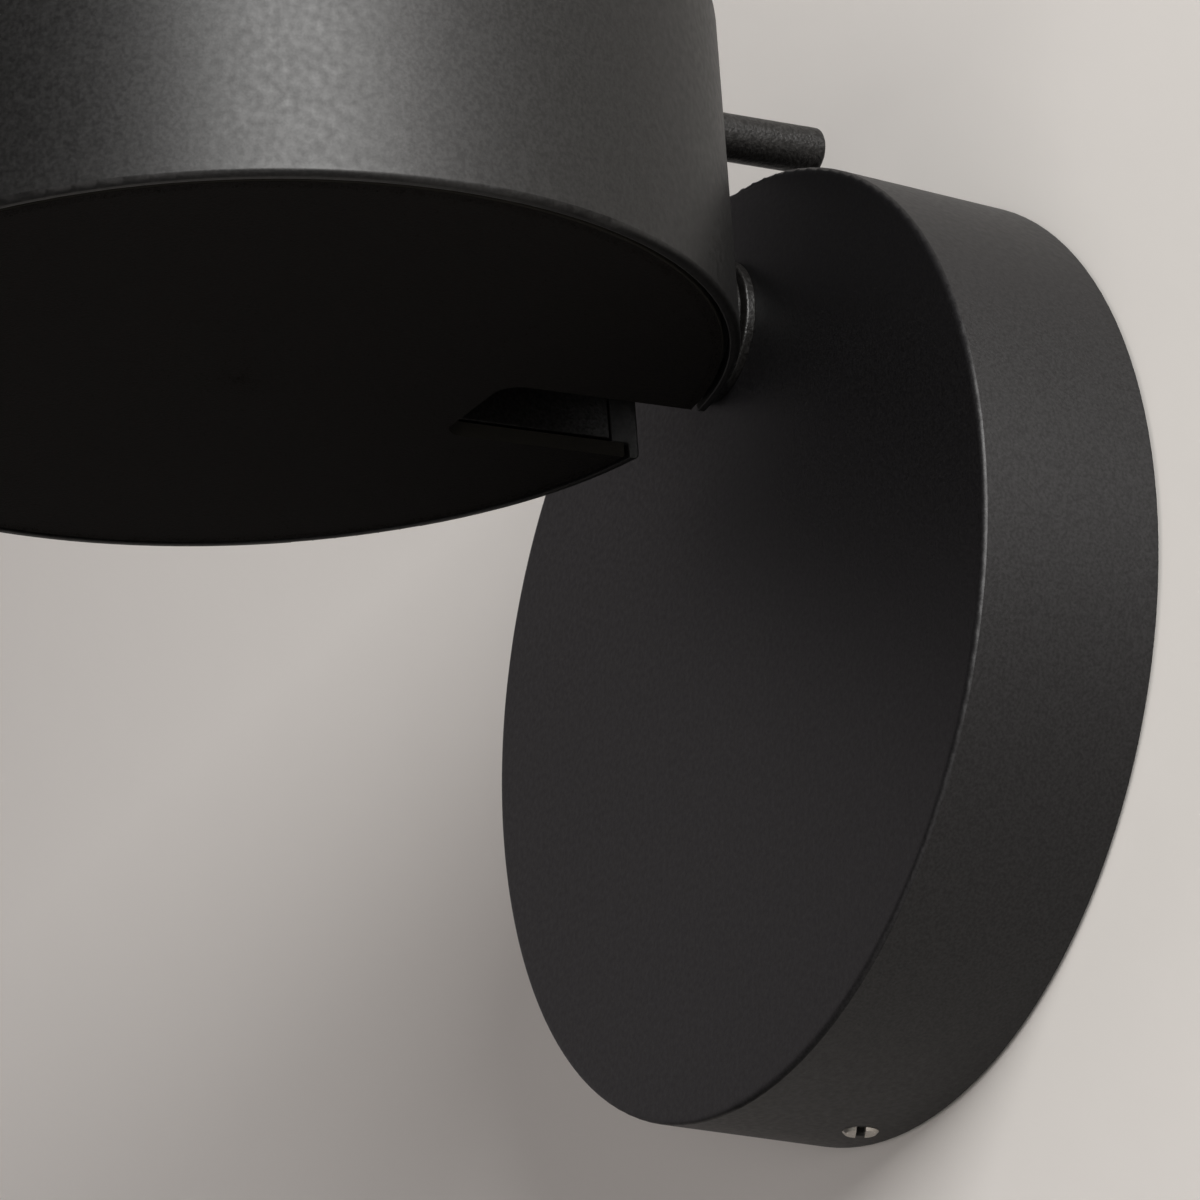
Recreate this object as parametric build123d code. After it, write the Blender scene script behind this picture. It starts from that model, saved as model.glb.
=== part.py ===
from build123d import *
import math
import os

# Pivoting spotlight wall light, in millimetres.
# Row frame: origin at the centre of the wall plate's back, on the wall.
# X to the right, Y into the wall, Z up. The lamp stands out along -Y.

# ---------------------------------------------------------------- wall plate
PLATE_R = 57.7
PLATE_DEPTH = 23.0
PLATE_WALL = 2.5
PLATE_EDGE = 0.5
PLATE_INNER_R = PLATE_R - PLATE_WALL
FACE_Y = -PLATE_DEPTH
FACE_INNER_Y = FACE_Y + PLATE_WALL

# wall bracket, a steel strip with the screw slots, inside the plate
BRACKET_T = 2.0
BRACKET_HALF_W = 20.0
BRACKET_HALF_H = 46.0
SLOT_PITCH = 60.0
SLOT_W = 5.0
SLOT_LEN = 14.0
ENTRY_R = 9.0
ENTRY_HOLE_R = 4.5

# set screw at six o'clock
SET_SCREW_R = 2.15
SET_SCREW_Y = -5.0
SET_SCREW_PROUD = 0.35
SET_SCREW_SLOT = 1.1
SET_SCREW_TURN = -28.4

# ------------------------------------------------------------- swivel and arm
SWIVEL_Z = 40.15
BUSH_R = 8.9
BUSH_FLANGE_T = 1.2
BUSH_SHANK_R = 5.5
STEM_R = 3.9
RUNNING = 0.05
WIRE_R = 1.9
ARM_FLANGE_R = 8.1
ARM_GAP = 0.4
ARM_FLANGE_T = 0.8
ARM_R = 6.0
EYE_R = 6.5
EYE_HALF_W = 6.3

# ---------------------------------------------------------------- head, hinge
HEAD_R = 57.9
HEAD_H = 46.1
HEAD_WALL = 3.6
TOP_ROUND = 6.5
RIM_ROUND = 0.7
HEAD_TILT = 4.19
HINGE_Y = -47.9
HINGE_BACK = 40.1
HINGE_UP = 16.2
PIN_R = 2.5
NOTCH_HALF_W = 8.4
NOTCH_FRONT = 30.2
NOTCH_CORNER = 3.0
NOTCH_TOP = 24.3

# stepped bore of the drum, the ledge holds the heat sink
LOWER_BORE_R = HEAD_R - HEAD_WALL
UPPER_BORE_R = 52.0
LEDGE_UP = 19.5
LIP_UP = 42.7
WINDOW_R = 48.5

# back cover in its rebate
REBATE_R = 56.6
REBATE_DEPTH = 1.9
COVER_R = 55.9
COVER_LOW = 0.05

# handle rod
ROD_R = 3.0
ROD_UP = 41.05
ROD_END = 81.0
ROD_ROOT = 52.7

# light engine, heights above the drum's lower rim
SINK_PLATE_LOW = 15.0
PEDESTAL_R = 24.5
PEDESTAL_TOP = 26.0
BOARD_LOW = 26.4
BOARD_TOP = 28.0
CONE_TOP = 37.2
DIFFUSER_LOW = 38.7
DIFFUSER_TOP = 41.2

BASE = (Align.CENTER, Align.CENTER, Align.MIN)

# places a shape modelled in the head's own frame: origin at the centre of
# the lower rim, Y towards the back, Z towards the light side
IN_HEAD = (
    Pos(0, HINGE_Y, SWIVEL_Z)
    * Rot(HEAD_TILT, 0, 0)
    * Pos(0, -HINGE_BACK, -HINGE_UP)
)


# ------------------------------------------------------------------- helpers
def post(radius, low, high, x=0.0, y=0.0):
    """Cylinder standing along Z."""
    return Pos(x, y, low) * Cylinder(radius, high - low, align=BASE)


def tube(outer, inner, low, high, x=0.0, y=0.0):
    """Ring or tube along Z."""
    return post(outer, low, high, x, y) - post(inner, low - 1, high + 1, x, y)


def bar_x(radius, left, right, y, z):
    """Cylinder lying along X."""
    return Pos(left, y, z) * Rot(0, 90, 0) * Cylinder(radius, right - left, align=BASE)


def bar_y(radius, front, back, x, z):
    """Cylinder lying along Y."""
    return Pos(x, back, z) * Rot(90, 0, 0) * Cylinder(radius, back - front, align=BASE)


def block(x, y, z):
    """Box between the pairs of limits x, y and z."""
    centre = Pos((x[0] + x[1]) / 2, (y[0] + y[1]) / 2, (z[0] + z[1]) / 2)
    return centre * Box(x[1] - x[0], y[1] - y[0], z[1] - z[0])


def hex_y(flats, front, back, x, z):
    """Hexagonal prism lying along Y."""
    shape = extrude(RegularPolygon(flats / math.sqrt(3), 6), back - front)
    return Pos(x, back, z) * Rot(90, 0, 0) * shape


def screw_up(x, y, seat, tip, shank_r, head_r, head_h):
    """Pan screw driven upwards, its head below the seat, with a cross slot."""
    screw = post(shank_r, seat - 0.01, tip, x, y) + post(head_r, seat - head_h, seat, x, y)
    for turn in (0, 90):
        groove = Box(head_r * 1.3, 0.6, 1.2)
        screw -= Pos(x, y, seat - head_h) * Rot(0, 0, turn) * groove
    return screw


def polar(radius, angle):
    """Point on a circle, angle in degrees from +X."""
    turn = math.radians(angle)
    return radius * math.cos(turn), radius * math.sin(turn)


def notch(low, high, back=70.0):
    """Slot open to the back, its two front corners rounded."""
    slot = block((-NOTCH_HALF_W, NOTCH_HALF_W), (NOTCH_FRONT, back), (low, high))
    corners = slot.edges().filter_by(Axis.Z).group_by(Axis.Y)[0]
    return fillet(corners, NOTCH_CORNER)


def top_edges(shape):
    return shape.edges().group_by(Axis.Z)[-1]


def front_edges(shape):
    return shape.edges().group_by(Axis.Y)[0]


def bottom_edges(shape):
    return shape.edges().group_by(Axis.Z)[0]


nodes = {}


def keep(name, *shapes, at=None):
    """Stores a node as one solid or as a group of separate solids."""
    placed = [at * shape if at is not None else shape for shape in shapes]
    solids = [solid for shape in placed for solid in shape.solids()]
    nodes[name] = solids[0] if len(solids) == 1 else Compound(children=solids)


# ================================================================ wall plate
def make_wall_plate():
    cup = post(PLATE_R, 0, PLATE_DEPTH)
    cup = fillet(top_edges(cup), PLATE_EDGE)
    cup -= post(PLATE_INNER_R, -1, PLATE_DEPTH - PLATE_WALL)
    # standing on its back, then turned so that its face looks along -Y
    cup = Rot(90, 0, 0) * cup
    # lug at the top that hangs behind the bracket's hook
    lug = block((-11, 11), (-7.4, -5.4), (50.2, 56.0))
    # boss that carries the thread of the set screw
    boss = block((-6, 6), (-9.2, -0.4), (-56.0, -51.4))
    cup = cup + (lug & bar_y(PLATE_R - 0.5, -PLATE_DEPTH, 0, 0, 0))
    cup = cup + (boss & bar_y(PLATE_R - 0.5, -PLATE_DEPTH, 0, 0, 0))
    # bosses for the driver's screws
    for x in (-40.5, 40.5):
        cup += bar_y(3.0, FACE_INNER_Y - 0.1, FACE_INNER_Y + 3.0, x, DRIVER_Z)
        cup -= bar_y(1.27, FACE_INNER_Y - 0.5, FACE_INNER_Y + 4.0, x, DRIVER_Z)
    cup -= bar_y(BUSH_SHANK_R + 0.02, FACE_Y - 1, FACE_INNER_Y + 1, 0, SWIVEL_Z)
    cup -= Pos(0, SET_SCREW_Y, -60) * Cylinder(SET_SCREW_R + 0.02, 30, align=BASE)
    return cup


DRIVER_Z = -24.0
keep("wall_plate", make_wall_plate())


def make_wall_bracket():
    strip = block((-BRACKET_HALF_W, BRACKET_HALF_W), (-BRACKET_T, 0),
                  (-BRACKET_HALF_H, BRACKET_HALF_H))
    # top hook, bent forward and then up in front of the plate's lug
    strip += block((-9, 9), (-10.0, 0), (BRACKET_HALF_H - 2.0, BRACKET_HALF_H))
    strip += block((-9, 9), (-10.0, -8.0), (BRACKET_HALF_H - 2.0, 53.0))
    # bottom tab that the set screw bears on
    strip += block((-8, 8), (-9.5, 0), (-BRACKET_HALF_H, -BRACKET_HALF_H + 2.0))
    for side in (-1, 1):
        slot = Rot(0, 0, 90) * extrude(SlotOverall(SLOT_LEN, SLOT_W), 6)
        strip -= Pos(0, 2, side * SLOT_PITCH / 2) * Rot(90, 0, 0) * slot
    strip -= bar_y(ENTRY_R + 0.02, -5, 1, 0, 0)
    strip -= bar_y(1.65, -5, 1, 15, 12)
    return strip


keep("wall_bracket", make_wall_bracket())

grommet = bar_y(ENTRY_R, -BRACKET_T - 1.0, 0, 0, 0)
grommet += bar_y(ENTRY_R + 1.6, -BRACKET_T - 1.6, -BRACKET_T - 0.02, 0, 0)
grommet -= bar_y(ENTRY_HOLE_R, -6, 1, 0, 0)
keep("cable_grommet", grommet)

set_screw_face = -PLATE_R - SET_SCREW_PROUD
set_screw = post(SET_SCREW_R, set_screw_face, -BRACKET_HALF_H - 0.05, 0, SET_SCREW_Y)
set_screw = chamfer(bottom_edges(set_screw), 0.3)
driver_slot = Rot(0, 0, SET_SCREW_TURN) * Box(8, SET_SCREW_SLOT, 2.8)
set_screw -= Pos(0, SET_SCREW_Y, set_screw_face) * driver_slot
keep("canopy_set_screw", set_screw)

# ------------------------------------------------------------ driver, wiring
DRIVER_HALF = 35.5
driver_y = (-19.6, -4.4)
case = block((-DRIVER_HALF, DRIVER_HALF), driver_y, (DRIVER_Z - 13, DRIVER_Z + 13))
case = fillet(case.edges().filter_by(Axis.Y), 2.0)
for side in (-1, 1):
    ear_x = sorted((side * (DRIVER_HALF - 1), side * 44.0))
    ear = block(ear_x, (FACE_INNER_Y + 3.1, FACE_INNER_Y + 4.7), (DRIVER_Z - 4, DRIVER_Z + 4))
    case += ear
    case -= bar_y(1.7, -22, -10, side * 40.5, DRIVER_Z)
keep("driver_case", case)

driver_screws = []
for side in (-1, 1):
    seat_y = FACE_INNER_Y + 4.8
    screw = bar_y(1.25, FACE_INNER_Y + 0.1, seat_y + 0.1, side * 40.5, DRIVER_Z)
    screw += bar_y(2.6, seat_y, seat_y + 1.8, side * 40.5, DRIVER_Z)
    screw -= Pos(side * 40.5, seat_y + 1.8, DRIVER_Z) * Box(3.6, 1.2, 0.6)
    driver_screws.append(screw)
keep("driver_screws", *driver_screws)

TERMINAL_Z = 15.0
terminal = block((-17, 5), (-13.0, -BRACKET_T - 0.05), (TERMINAL_Z - 3.4, TERMINAL_Z + 7.0))
terminal_x = (-13.5, -6.0, 1.5)
for x in terminal_x:
    terminal -= bar_y(1.6, -14, -6, x, TERMINAL_Z + 2.0)
keep("terminal_block", terminal)
terminal_screws = []
for x in terminal_x:
    screw = bar_y(1.5, -12.4, -6.2, x, TERMINAL_Z + 2.0)
    screw -= Pos(x, -12.4, TERMINAL_Z + 2.0) * Box(4, 1.2, 0.6)
    terminal_screws.append(screw)
keep("terminal_screws", *terminal_screws)

earth = bar_y(1.6, -4.0, -0.2, 15, 12) + bar_y(3.2, -6.2, -BRACKET_T - 0.05, 15, 12)
earth -= Pos(15, -6.2, 12) * Box(4.4, 1.4, 0.7)
keep("earth_screw", earth)

# ============================================================ swivel and arm
BUSH_END_Y = -15.6
bush = bar_y(BUSH_R, FACE_Y - BUSH_FLANGE_T, FACE_Y - 0.01, 0, SWIVEL_Z)
bush = fillet(front_edges(bush), 0.25)
bush += bar_y(BUSH_SHANK_R, FACE_Y - 0.5, BUSH_END_Y, 0, SWIVEL_Z)
bush -= bar_y(STEM_R + RUNNING, -40, 0, 0, SWIVEL_Z)
keep("swivel_bush", bush)

bush_nut = hex_y(14.0, FACE_INNER_Y + 0.05, FACE_INNER_Y + 3.2, 0, SWIVEL_Z)
bush_nut -= bar_y(BUSH_SHANK_R + 0.02, -30, 0, 0, SWIVEL_Z)
keep("bush_nut", bush_nut)

STEM_END_Y = -11.0
flange_back = FACE_Y - BUSH_FLANGE_T - ARM_GAP
rim = bar_y(ARM_FLANGE_R, flange_back - ARM_FLANGE_T, flange_back, 0, SWIVEL_Z)
arm = bar_y(ARM_R, HINGE_Y, flange_back, 0, SWIVEL_Z) + fillet(front_edges(rim), 0.2)
arm += bar_x(EYE_R, -EYE_HALF_W, EYE_HALF_W, HINGE_Y, SWIVEL_Z)
arm += bar_y(STEM_R, flange_back - 0.5, STEM_END_Y, 0, SWIVEL_Z)
arm -= bar_x(PIN_R + RUNNING, -20, 20, HINGE_Y, SWIVEL_Z)
# wire way from the stem to a mouth on top of the arm, ahead of the eye
arm -= bar_y(WIRE_R, HINGE_Y + 9.6, 0, 0, SWIVEL_Z)
arm -= block((-1.5, 1.5), (HINGE_Y + 10.4, HINGE_Y + 14.6), (SWIVEL_Z, SWIVEL_Z + 10))
keep("neck_arm", arm)

washer = bar_y(6.4, BUSH_END_Y + 0.35, BUSH_END_Y + 1.15, 0, SWIVEL_Z)
washer -= bar_y(STEM_R + 0.03, -30, 0, 0, SWIVEL_Z)
keep("swivel_washer", washer)
stem_nut = hex_y(10.0, BUSH_END_Y + 1.2, BUSH_END_Y + 4.0, 0, SWIVEL_Z)
stem_nut -= bar_y(STEM_R + 0.02, -30, 0, 0, SWIVEL_Z)
keep("stem_nut", stem_nut)

# ================================================================= the head
def make_head_shell():
    drum = post(HEAD_R, 0, HEAD_H)
    drum = fillet(top_edges(drum), TOP_ROUND)
    drum = fillet(bottom_edges(drum), RIM_ROUND)
    drum -= post(LOWER_BORE_R, -1, LEDGE_UP)
    drum -= post(UPPER_BORE_R, LEDGE_UP - 1, LIP_UP)
    drum -= post(WINDOW_R, LIP_UP - 1, HEAD_H + 1)
    drum -= post(REBATE_R, -1, REBATE_DEPTH)
    # bevel round the light window
    drum -= Pos(0, 0, HEAD_H - 1.2) * Cone(WINDOW_R, WINDOW_R + 1.3, 1.21, align=BASE)
    # three bosses under the ledge take the heat sink's screws
    for angle in BOSS_ANGLES:
        x, y = polar(BOSS_AT, angle)
        drum += post(BOSS_R, LEDGE_UP, 33.0, x, y) & post(HEAD_R - 1, 0, HEAD_H)
        drum -= post(1.3, LEDGE_UP - 1, 31.0, x, y)
    # notch that lets the arm swing from the back to the underside
    drum -= notch(-5, NOTCH_TOP)
    drum -= bar_y(ROD_R + 0.02, ROD_ROOT, 70, 0, ROD_UP)
    return drum


BOSS_ANGLES = (-90, 30, 150)
BOSS_AT = 50.0
BOSS_R = 3.4
keep("head_shell", make_head_shell(), at=IN_HEAD)

cover = post(COVER_R, COVER_LOW, REBATE_DEPTH)
cover = fillet(bottom_edges(cover), 0.25)
cover -= notch(-5, 5)
keep("back_cover", cover, at=IN_HEAD)

clips = []
for angle in (210, 330, 60, 120):
    clip = block((51.6, 52.6), (-4, 4), (REBATE_DEPTH + 0.02, 9.0))
    clip += block((51.6, 54.1), (-4, 4), (7.6, 8.6))
    clip += block((48.0, 52.6), (-4, 4), (REBATE_DEPTH + 0.02, REBATE_DEPTH + 1.0))
    clips.append(Rot(0, 0, angle) * clip)
keep("cover_clips", *clips, at=IN_HEAD)

rod = bar_y(ROD_R, ROD_ROOT + 0.05, ROD_END, 0, ROD_UP)
rod = fillet(rod.edges().sort_by(Axis.Y)[-1], 0.5)
keep("handle_rod", rod, at=IN_HEAD)

# --------------------------------------------------------------- hinge cradle
CRADLE_HALF_W = 12.6
CRADLE_FRONT = NOTCH_FRONT - 3.0
CRADLE_TOP = 26.6
cradle = block((-CRADLE_HALF_W, CRADLE_HALF_W), (CRADLE_FRONT, 56.0), (2.3, CRADLE_TOP))
cradle -= notch(0, NOTCH_TOP)
# four feet screwed up into the heat sink, clear of the hinge screw
for side in (-1, 1):
    foot_x = sorted((side * (CRADLE_HALF_W - 1), side * 18.6))
    for foot_y in ((28.5, 34.9), (45.3, 50.0)):
        cradle += block(foot_x, foot_y, (12.4, SINK_PLATE_LOW - 0.05))
cradle &= post(LOWER_BORE_R - 0.3, 0, LEDGE_UP - 0.3) + post(UPPER_BORE_R - 0.3, LEDGE_UP - 1, 40)
cradle -= bar_x(PIN_R + 0.02, -20, 20, HINGE_BACK, HINGE_UP)
cradle -= post(2.0, NOTCH_TOP - 1, 30, 0, 49.0)
cradle_seats = []
for side in (-1, 1):
    for y in (31.8, 47.5):
        cradle -= post(1.35, 10, 17, side * 15.7, y)
        cradle_seats.append((side * 15.7, y))
keep("hinge_cradle", cradle, at=IN_HEAD)

cradle_screws = [screw_up(x, y, 12.35, 18.4, 1.2, 2.2, 1.8) for x, y in cradle_seats]
keep("cradle_screws", *cradle_screws, at=IN_HEAD)

pin = bar_x(PIN_R, -CRADLE_HALF_W - 4.2, CRADLE_HALF_W + 0.1, HINGE_BACK, HINGE_UP)
pin += bar_x(4.6, CRADLE_HALF_W + 0.05, CRADLE_HALF_W + 3.0, HINGE_BACK, HINGE_UP)
socket = extrude(RegularPolygon(3.0 / math.sqrt(3), 6), 2.0)
pin -= Pos(CRADLE_HALF_W + 1.4, HINGE_BACK, HINGE_UP) * Rot(0, 90, 0) * socket
keep("hinge_screw", pin, at=IN_HEAD)

lock_nut = extrude(RegularPolygon(8.0 / math.sqrt(3), 6), 3.6)
lock_nut = Pos(-CRADLE_HALF_W - 3.7, HINGE_BACK, HINGE_UP) * Rot(0, 90, 0) * lock_nut
lock_nut -= bar_x(PIN_R + 0.02, -20, 20, HINGE_BACK, HINGE_UP)
keep("hinge_nut", lock_nut, at=IN_HEAD)

WASHER_T = NOTCH_HALF_W - EYE_HALF_W - 0.44
friction_washers = []
for left in (-NOTCH_HALF_W + 0.04, EYE_HALF_W + 0.4):
    disc = bar_x(5.8, left, left + WASHER_T, HINGE_BACK, HINGE_UP)
    friction_washers.append(disc - bar_x(PIN_R + 0.1, -20, 20, HINGE_BACK, HINGE_UP))
keep("friction_washers", *friction_washers, at=IN_HEAD)

# --------------------------------------------------------------- light engine
def make_heat_sink():
    sink = post(LOWER_BORE_R - 0.2, SINK_PLATE_LOW, LEDGE_UP - 0.05)
    sink += post(PEDESTAL_R, LEDGE_UP - 1, PEDESTAL_TOP)
    bay = block((-CRADLE_HALF_W - 0.6, CRADLE_HALF_W + 0.6), (CRADLE_FRONT - 0.6, 60), (0, 40))
    room = block((-22.5, 22.5), (26.4, 60), (0, SINK_PLATE_LOW))
    for index in range(-5, 6):
        x = index * 8.0
        reach = math.sqrt(47.0 ** 2 - x ** 2)
        sink += block((x - 1.0, x + 1.0), (-reach, reach), (4.5, SINK_PLATE_LOW + 0.5))
    sink = sink - bay - room
    sink -= block((-17.9, 17.9), (35.0, 45.2), (0, 40))
    for x, y in cradle_seats:
        sink -= post(1.22, 10, 18.8, x, y)
    for angle in BOSS_ANGLES:
        x, y = polar(BOSS_AT, angle)
        sink -= post(1.7, 0, 25, x, y)
        sink -= post(3.2, 0, SINK_PLATE_LOW, x, y)
    for angle in BOARD_SCREW_ANGLES:
        x, y = polar(BOARD_SCREW_AT, angle)
        sink -= post(1.02, 21, 30, x, y)
    return sink


BOARD_SCREW_ANGLES = (90, 210, 330)
BOARD_SCREW_AT = 12.5
keep("heat_sink", make_heat_sink(), at=IN_HEAD)

sink_screws = []
for angle in BOSS_ANGLES:
    x, y = polar(BOSS_AT, angle)
    sink_screws.append(screw_up(x, y, SINK_PLATE_LOW - 0.05, 28.0, 1.25, 2.6, 1.9))
keep("heat_sink_screws", *sink_screws, at=IN_HEAD)

pad = post(24.0, PEDESTAL_TOP + 0.02, BOARD_LOW - 0.02)
board = post(24.0, BOARD_LOW, BOARD_TOP)
for angle in BOARD_SCREW_ANGLES:
    x, y = polar(BOARD_SCREW_AT, angle)
    pad -= post(1.3, 20, 30, x, y)
    board -= post(1.3, 20, 30, x, y)
keep("thermal_pad", pad, at=IN_HEAD)
keep("led_board", board, at=IN_HEAD)

chips = []
for count, radius in ((5, 6.0), (12, 18.5)):
    for index in range(count):
        angle = 360.0 * index / count + 15.0
        chip = block((radius - 1.4, radius + 1.4), (-1.75, 1.75), (BOARD_TOP + 0.02, BOARD_TOP + 0.8))
        chips.append(Rot(0, 0, angle) * chip)
keep("led_chips", *chips, at=IN_HEAD)

board_screws = []
for angle in BOARD_SCREW_ANGLES:
    x, y = polar(BOARD_SCREW_AT, angle)
    screw = post(1.0, 21.2, BOARD_TOP + 0.1, x, y)
    screw += post(2.0, BOARD_TOP + 0.03, BOARD_TOP + 1.4, x, y)
    screw -= Pos(x, y, BOARD_TOP + 1.4) * Box(3.0, 0.5, 0.9)
    board_screws.append(screw)
keep("board_screws", *board_screws, at=IN_HEAD)


def make_reflector():
    # dish: a ring on the board, a flared wall and a flat flange at the top
    profile = Polyline(
        (21.6, BOARD_TOP + 0.05), (23.2, BOARD_TOP + 0.05), (47.6, CONE_TOP - 0.2),
        (51.6, CONE_TOP - 0.2), (51.6, DIFFUSER_LOW - 0.05), (46.8, DIFFUSER_LOW - 0.05),
        (21.6, BOARD_TOP + 1.5), (21.6, BOARD_TOP + 0.05),
    )
    dish = revolve(Plane.XZ * make_face(profile), Axis.Z)
    for angle in BOSS_ANGLES:
        x, y = polar(BOSS_AT, angle)
        dish -= post(BOSS_R + 0.5, LEDGE_UP, DIFFUSER_LOW + 1, x, y)
    return dish


keep("reflector", make_reflector(), at=IN_HEAD)

lens = post(51.6, DIFFUSER_LOW, DIFFUSER_TOP)
keep("diffuser", lens, at=IN_HEAD)
keep("diffuser_gasket", tube(51.6, 49.2, DIFFUSER_TOP + 0.02, LIP_UP - 0.02), at=IN_HEAD)

# -------------------------------------------------------------------- output
os.makedirs("parts", exist_ok=True)
for name, shape in nodes.items():
    export_step(shape, f"parts/{name}.step")
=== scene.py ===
import math
import random

import bpy
from mathutils import Matrix, Vector


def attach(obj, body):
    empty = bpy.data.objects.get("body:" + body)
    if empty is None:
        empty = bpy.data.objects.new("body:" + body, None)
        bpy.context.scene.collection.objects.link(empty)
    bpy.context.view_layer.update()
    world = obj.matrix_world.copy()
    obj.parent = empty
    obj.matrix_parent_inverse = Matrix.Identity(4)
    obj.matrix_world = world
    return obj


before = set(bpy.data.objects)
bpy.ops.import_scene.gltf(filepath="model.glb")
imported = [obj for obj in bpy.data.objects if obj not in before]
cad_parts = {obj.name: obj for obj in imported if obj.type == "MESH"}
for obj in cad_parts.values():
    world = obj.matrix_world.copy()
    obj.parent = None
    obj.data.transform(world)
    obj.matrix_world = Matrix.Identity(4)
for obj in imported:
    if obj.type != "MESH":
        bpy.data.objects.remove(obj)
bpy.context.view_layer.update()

MM = 0.001

# ---------------------------------------------------------- the head's frame
# origin at the centre of the drum's lower rim, Y to the back, Z to the light
HINGE = Vector((0.0, -47.9 * MM, 40.15 * MM))
HEAD_TILT = math.radians(4.19)
HINGE_BACK = 40.1 * MM
HINGE_UP = 16.2 * MM
head_frame = (
    Matrix.Translation(HINGE)
    @ Matrix.Rotation(HEAD_TILT, 4, "X")
    @ Matrix.Translation((0.0, -HINGE_BACK, -HINGE_UP))
)


# ---------------------------------------------------------------- materials
COAT_GLEAM = 0.34
SOFT_SAMPLES = 8
# cosines of the angle to the radius between which a face counts as the side
SIDE_FROM = 0.990
SIDE_TO = 0.998


class Material:
    """A node-based material on one Principled shader."""

    def __init__(self, name, colour, roughness, metallic=0.0, specular=0.5):
        self.mat = bpy.data.materials.new(name)
        self.mat.use_nodes = True
        self.nodes = self.mat.node_tree.nodes
        self.links = self.mat.node_tree.links
        self.bsdf = self.nodes["Principled BSDF"]
        self.bsdf.inputs["Base Color"].default_value = (*colour, 1.0)
        self.bsdf.inputs["Roughness"].default_value = roughness
        self.bsdf.inputs["Metallic"].default_value = metallic
        self.bsdf.inputs["Specular IOR Level"].default_value = specular
        self.place = self.nodes.new("ShaderNodeTexCoord").outputs["Object"]
        self.height = None

    def noise(self, scale, detail=2.0, rough=0.5):
        """Noise along the object's own axes, the scale in cells per metre."""
        node = self.nodes.new("ShaderNodeTexNoise")
        node.inputs["Scale"].default_value = scale
        node.inputs["Detail"].default_value = detail
        node.inputs["Roughness"].default_value = rough
        self.links.new(self.place, node.inputs["Vector"])
        return node.outputs["Fac"]

    def own_normal(self):
        """The surface normal along the object's own axes."""
        return self.nodes.new("ShaderNodeTexCoord").outputs["Normal"]

    def ramp(self, value, low, high, start=0.3, end=0.7):
        """Maps the range start to end of a value onto low to high."""
        node = self.nodes.new("ShaderNodeMapRange")
        node.inputs["From Min"].default_value = start
        node.inputs["From Max"].default_value = end
        node.inputs["To Min"].default_value = low
        node.inputs["To Max"].default_value = high
        self.links.new(value, node.inputs["Value"])
        return node.outputs["Result"]

    def tint(self, value, dark, light, start=0.3, end=0.7):
        """Mixes two colours by a value."""
        node = self.nodes.new("ShaderNodeValToRGB")
        node.color_ramp.elements[0].position = start
        node.color_ramp.elements[1].position = end
        node.color_ramp.elements[0].color = (*dark, 1.0)
        node.color_ramp.elements[1].color = (*light, 1.0)
        self.links.new(value, node.inputs["Fac"])
        self.links.new(node.outputs["Color"], self.bsdf.inputs["Base Color"])

    def painted_edge_sheen(self, colour, start=0.6, end=0.9):
        """Another colour on faces that don't look along the object's own Z, used as a painted
        sheen on edges.
        """
        axes = self.nodes.new("ShaderNodeSeparateXYZ")
        self.links.new(self.own_normal(), axes.inputs["Vector"])
        size = self.nodes.new("ShaderNodeMath")
        size.operation = "ABSOLUTE"
        self.links.new(axes.outputs["Z"], size.inputs[0])
        mix = self.nodes.new("ShaderNodeMix")
        mix.data_type = "RGBA"
        mix.inputs["A"].default_value = (*colour, 1.0)
        share = self.ramp(size.outputs["Value"], 0.0, 1.0, start, end)
        face = self.bsdf.inputs["Base Color"].links[0].from_socket
        self.links.new(share, mix.inputs["Factor"])
        self.links.new(face, mix.inputs["B"])
        self.links.new(mix.outputs["Result"], self.bsdf.inputs["Base Color"])

    def soften(self, radius):
        """Blends the shading across edges within a small radius."""
        node = self.nodes.new("ShaderNodeBevel")
        node.samples = SOFT_SAMPLES
        node.inputs["Radius"].default_value = radius
        self.height = node.outputs["Normal"]

    def vector(self, operation, first, second=None, result="Vector"):
        """Vector arithmetic on sockets or fixed vectors."""
        node = self.nodes.new("ShaderNodeVectorMath")
        node.operation = operation
        for socket, value in zip(node.inputs, (first, second)):
            if isinstance(value, Vector):
                socket.default_value = value
            elif value is not None:
                self.links.new(value, socket)
        return node.outputs[result]

    def turned(self, point, axis):
        """Exactly radial shading on the side of a round body."""
        reach = self.vector("SUBTRACT", self.place, point)
        around = self.vector("CROSS_PRODUCT", axis, reach)
        radial = self.vector("NORMALIZE", self.vector("CROSS_PRODUCT", around, axis))
        near = self.vector("DOT_PRODUCT", radial, self.own_normal(), "Value")
        share = self.ramp(near, 0.0, 1.0, SIDE_FROM, SIDE_TO)
        world = self.nodes.new("ShaderNodeVectorTransform")
        world.vector_type = "NORMAL"
        world.convert_from = "OBJECT"
        world.convert_to = "WORLD"
        self.links.new(radial, world.inputs["Vector"])
        mix = self.nodes.new("ShaderNodeMix")
        mix.data_type = "VECTOR"
        self.links.new(share, mix.inputs["Factor"])
        self.links.new(self.height, mix.inputs["A"])
        self.links.new(world.outputs["Vector"], mix.inputs["B"])
        self.height = mix.outputs["Result"]

    def rough(self, value, low, high):
        """Varies the roughness between two values."""
        self.links.new(self.ramp(value, low, high), self.bsdf.inputs["Roughness"])

    def bump(self, value, distance):
        """Adds a bump of the given height in metres."""
        node = self.nodes.new("ShaderNodeBump")
        node.inputs["Strength"].default_value = 1.0
        node.inputs["Distance"].default_value = distance
        self.links.new(value, node.inputs["Height"])
        if self.height is not None:
            self.links.new(self.height, node.inputs["Normal"])
        self.height = node.outputs["Normal"]
        self.links.new(self.height, self.bsdf.inputs["Normal"])


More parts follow.
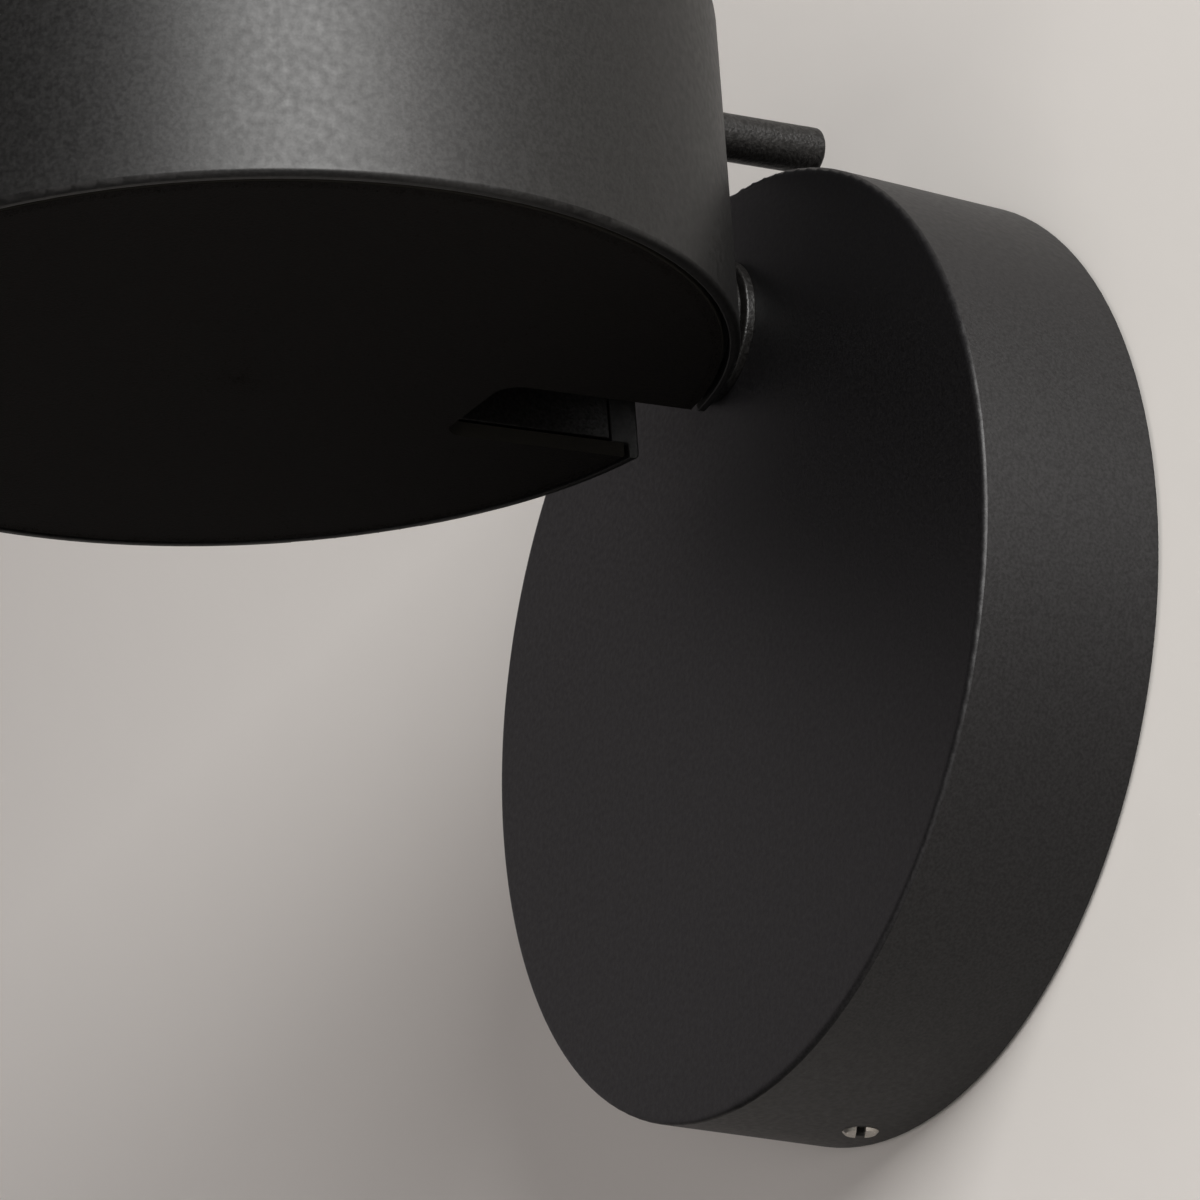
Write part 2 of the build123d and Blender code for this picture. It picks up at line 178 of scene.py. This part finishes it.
def powder_coat(name, colour, roughness, grain, depth, fleck, edge, axis=None):
    """Fine-textured matt powder coat, its gleam varied by the share fleck."""
    coat = Material(name, colour, roughness, 0.0, COAT_GLEAM)
    coat.soften(edge)
    if axis:
        coat.turned(*axis)
    speck = coat.noise(grain, 2.5, 0.55)
    dark = [0.75 * c for c in colour]
    light = [1.25 * c for c in colour]
    coat.tint(speck, dark, light, 0.35, 0.65)
    coat.rough(coat.noise(grain * 0.5, 1.0), roughness - 0.04, roughness + 0.04)
    gleam = coat.ramp(speck, COAT_GLEAM * (1 - fleck), COAT_GLEAM * (1 + fleck), 0.35, 0.65)
    coat.links.new(gleam, coat.bsdf.inputs["Specular IOR Level"])
    coat.bump(speck, depth)
    return coat.mat


def metal(name, colour, roughness):
    """Bare metal with fine marks."""
    bare = Material(name, colour, roughness, 1.0)
    mark = bare.noise(900.0)
    bare.rough(mark, roughness * 0.8, roughness * 1.25)
    bare.bump(mark, 0.01 * MM)
    return bare.mat


def moulded(name, colour, roughness, grain=1500.0, depth=0.008 * MM):
    """Moulded plastic or rubber with a faint grain."""
    plastic = Material(name, colour, roughness)
    grains = plastic.noise(grain)
    plastic.rough(grains, roughness * 0.9, min(1.0, roughness * 1.1))
    plastic.bump(grains, depth)
    return plastic.mat


def make_felt():
    """Black felt, its cut edges a little lighter as a painted sheen."""
    felt = Material("black_felt", (0.004, 0.0035, 0.003), 0.9, 0.0, 0.12)
    fibre = felt.noise(2600.0, 3.0, 0.7)
    felt.tint(fibre, (0.0016, 0.0013, 0.0011), (0.0062, 0.0050, 0.0042))
    # painted sheen: the cut edges get a lighter colour in place of the gleam of their smoother
    # surface
    felt.painted_edge_sheen((0.016, 0.015, 0.0125))
    felt.bump(fibre, 0.10 * MM)
    return felt.mat


def make_pile():
    """Loose black fibres."""
    pile = Material("felt_pile", (0.006, 0.005, 0.004), 0.9, 0.0, 0.1)
    pile.tint(pile.noise(1500.0, 1.0), (0.002, 0.0016, 0.0013), (0.010, 0.008, 0.0065))
    return pile.mat


def make_opal():
    """Opal plastic that scatters light inside."""
    opal = Material("opal_lens", (0.62, 0.61, 0.585), 0.42)
    opal.bsdf.inputs["Subsurface Weight"].default_value = 0.35
    opal.bsdf.inputs["Subsurface Radius"].default_value = (0.004, 0.004, 0.0038)
    opal.bump(opal.noise(700.0, 1.0), 0.004 * MM)
    return opal.mat


def axis_in(name, frame_matrix, direction):
    """An axis through the frame's origin in a node's own coordinates."""
    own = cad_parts[name].matrix_world.inverted() @ frame_matrix
    return own.translation.copy(), (own.to_3x3() @ Vector(direction)).normalized()


plate_axis = axis_in("wall_plate", Matrix.Identity(4), (0.0, 1.0, 0.0))
head_axis = axis_in("head_shell", head_frame, (0.0, 0.0, 1.0))
coat_plate = powder_coat(
    "powder_coat_plate", (0.0037, 0.0034, 0.0038), 0.48,
    grain=2700.0, depth=0.010 * MM, fleck=0.14, edge=0.9 * MM, axis=plate_axis,
)
coat_head = powder_coat(
    "powder_coat_head", (0.0035, 0.0034, 0.0033), 0.48,
    grain=2100.0, depth=0.006 * MM, fleck=0.13, edge=0.3 * MM, axis=head_axis,
)
coat_small = powder_coat(
    "powder_coat_fittings", (0.0050, 0.0046, 0.0043), 0.42,
    grain=2300.0, depth=0.10 * MM, fleck=0.30, edge=0.2 * MM,
)
zinc = metal("zinc_plate", (0.62, 0.63, 0.65), 0.32)
steel = metal("screw_steel", (0.50, 0.50, 0.50), 0.30)
nickel = metal("nickel_screw", (0.66, 0.63, 0.58), 0.28)
brass = metal("brass", (0.72, 0.55, 0.25), 0.30)
raw_alu = metal("raw_aluminium", (0.70, 0.70, 0.71), 0.42)
white_case = moulded("driver_case_white", (0.78, 0.78, 0.76), 0.45)
natural = moulded("terminal_natural", (0.80, 0.78, 0.71), 0.40)
rubber = moulded("black_rubber", (0.018, 0.018, 0.018), 0.65, 1800.0, 0.02 * MM)
nylon = moulded("friction_nylon", (0.72, 0.71, 0.66), 0.5)
pad = moulded("thermal_silicone", (0.42, 0.47, 0.53), 0.7)
board = moulded("white_solder_mask", (0.84, 0.84, 0.83), 0.3, 900.0, 0.003 * MM)
phosphor = moulded("led_phosphor", (0.86, 0.68, 0.12), 0.35)
dish = moulded("white_reflector", (0.86, 0.86, 0.85), 0.25, 700.0, 0.003 * MM)
felt = make_felt()
opal = make_opal()

FINISH = {
    "wall_plate": coat_plate,
    "head_shell": coat_head,
    "handle_rod": coat_small,
    "swivel_bush": coat_small,
    "neck_arm": coat_small,
    "hinge_cradle": coat_small,
    "back_cover": felt,
    "wall_bracket": zinc,
    "bush_nut": zinc,
    "stem_nut": zinc,
    "hinge_nut": zinc,
    "cable_grommet": rubber,
    "diffuser_gasket": rubber,
    "canopy_set_screw": nickel,
    "earth_screw": brass,
    "heat_sink": raw_alu,
    "driver_case": white_case,
    "terminal_block": natural,
    "friction_washers": nylon,
    "thermal_pad": pad,
    "led_board": board,
    "led_chips": phosphor,
    "reflector": dish,
    "diffuser": opal,
}
for name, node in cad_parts.items():
    finish = FINISH.get(name, steel)
    for used in node.material_slots:
        used.link = "OBJECT"
        used.material = finish


# ---------------------------------------------------------------- felt pile
COVER_R = 55.6 * MM
NOTCH_HALF_W = 8.7 * MM
NOTCH_FRONT = 29.8 * MM
PILE_SEED = 7
PILE_COUNT = 9000
PILE_LONG = 0.36 * MM
PILE_WIDE = 0.07 * MM
PILE_ROOT = 0.05 * MM
RIM_SHARE = 0.7
RIM_BAND = 1.2 * MM


def felt_pile():
    """Loose fibres standing off the felt, densest near its rim."""
    pick = random.Random(PILE_SEED)
    corners = []
    faces = []
    while len(faces) < PILE_COUNT:
        band = RIM_BAND if pick.random() < RIM_SHARE else COVER_R
        reach = COVER_R - pick.random() * band
        turn = pick.uniform(0.0, 2.0 * math.pi)
        root = Vector((reach * math.cos(turn), reach * math.sin(turn), PILE_ROOT))
        if abs(root.x) < NOTCH_HALF_W and root.y > NOTCH_FRONT:
            continue
        lean = Vector((pick.uniform(-1, 1), pick.uniform(-1, 1), -pick.uniform(0.4, 1.0)))
        side = Vector((pick.uniform(-1, 1), pick.uniform(-1, 1), 0.0)).normalized() * PILE_WIDE
        first = len(corners)
        tip = root + lean.normalized() * PILE_LONG * pick.uniform(0.5, 1.0)
        corners += [root - side / 2, root + side / 2, tip]
        faces.append((first, first + 1, first + 2))
    mesh = bpy.data.meshes.new("felt_pile")
    mesh.from_pydata(corners, [], faces)
    pile = bpy.data.objects.new("felt_pile", mesh)
    pile.matrix_world = head_frame
    bpy.context.scene.collection.objects.link(pile)
    return pile


pile = felt_pile()
pile.data.materials.append(make_pile())
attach(pile, "head")


# ------------------------------------------------------------------- camera
CAM_AT = (0.466165, -0.291077, -0.196903)
CAM_YAW = math.radians(61.648)
CAM_PITCH = math.radians(20.616)
CAM_LENS = 144.02

cam_data = bpy.data.cameras.new("camera")
cam_data.lens = CAM_LENS
cam_data.sensor_width = 36.0
cam_data.clip_start = 0.01
camera = bpy.data.objects.new("camera", cam_data)
camera.location = CAM_AT
camera.rotation_euler = (math.pi / 2 + CAM_PITCH, 0.0, CAM_YAW)
bpy.context.scene.collection.objects.link(camera)
bpy.context.scene.camera = camera


# -------------------------------------------------------------------- stage
def plane(name, half_x, half_y, at, turn):
    """Rectangle that is part of the studio."""
    mesh = bpy.data.meshes.new(name)
    signs = ((-1, -1), (1, -1), (1, 1), (-1, 1))
    corners = [(x * half_x, y * half_y, 0) for x, y in signs]
    mesh.from_pydata(corners, [], [(0, 1, 2, 3)])
    sheet = bpy.data.objects.new(name, mesh)
    sheet.location = at
    sheet.rotation_euler = turn
    bpy.context.scene.collection.objects.link(sheet)
    return sheet


def stage_paint(name, colour, one_sided):
    """Matt paint, see-through from its back where it is one-sided."""
    paint = Material(name, colour, 0.6, 0.0, 0.3)
    paint.bump(paint.noise(60.0, 3.0), 0.05 * MM)
    if one_sided:
        out = next(n for n in paint.nodes if n.type == "OUTPUT_MATERIAL")
        clear = paint.nodes.new("ShaderNodeBsdfTransparent")
        mix = paint.nodes.new("ShaderNodeMixShader")
        side = paint.nodes.new("ShaderNodeNewGeometry")
        paint.links.new(side.outputs["Backfacing"], mix.inputs["Fac"])
        paint.links.new(paint.bsdf.outputs["BSDF"], mix.inputs[1])
        paint.links.new(clear.outputs["BSDF"], mix.inputs[2])
        paint.links.new(mix.outputs["Shader"], out.inputs["Surface"])
    return paint.mat


WALL_COLOUR = (0.82, 0.79, 0.755)
FLOOR_COLOUR = (0.62, 0.61, 0.60)
wall = plane("studio_wall", 1.6, 1.2, (0, 0.0006, 0.4), (math.pi / 2, 0, 0))
wall.data.materials.append(stage_paint("wall_paint", WALL_COLOUR, True))
floor = plane("studio_floor", 1.8, 1.8, (0, -0.9, -2.0), (0, 0, 0))
floor.data.materials.append(stage_paint("floor_paint", FLOOR_COLOUR, False))


# ------------------------------------------------------------------- lights
AIM = Vector((0.0, -0.05, 0.0))
SKY_COLOUR = (1.0, 0.98, 0.95, 1.0)
SKY_STRENGTH = 0.027


def softbox(name, at, size, watts, colour):
    """Rectangular soft light aimed at the lamp."""
    data = bpy.data.lights.new(name, "AREA")
    data.shape = "RECTANGLE"
    data.size, data.size_y = size
    data.energy = watts
    data.color = colour
    lamp = bpy.data.objects.new(name, data)
    lamp.location = at
    lamp.rotation_euler = (AIM - Vector(at)).to_track_quat("-Z", "Y").to_euler()
    bpy.context.scene.collection.objects.link(lamp)


softbox("key", (1.15, -0.33, 0.60), (0.7, 0.9), 38.7, (1.0, 0.99, 0.975))
softbox("low", (0.6, -1.0, -0.5), (1.0, 1.0), 4.4, (1.0, 0.95, 0.92))
softbox("fill", (-1.1, -0.7, 0.2), (1.4, 1.4), 2.5, (1.0, 0.92, 0.94))

world = bpy.data.worlds.new("studio")
bpy.context.scene.world = world
world.use_nodes = True
sky = world.node_tree.nodes["Background"]
sky.inputs["Color"].default_value = SKY_COLOUR
sky.inputs["Strength"].default_value = SKY_STRENGTH

bpy.context.scene.view_settings.view_transform = "Standard"
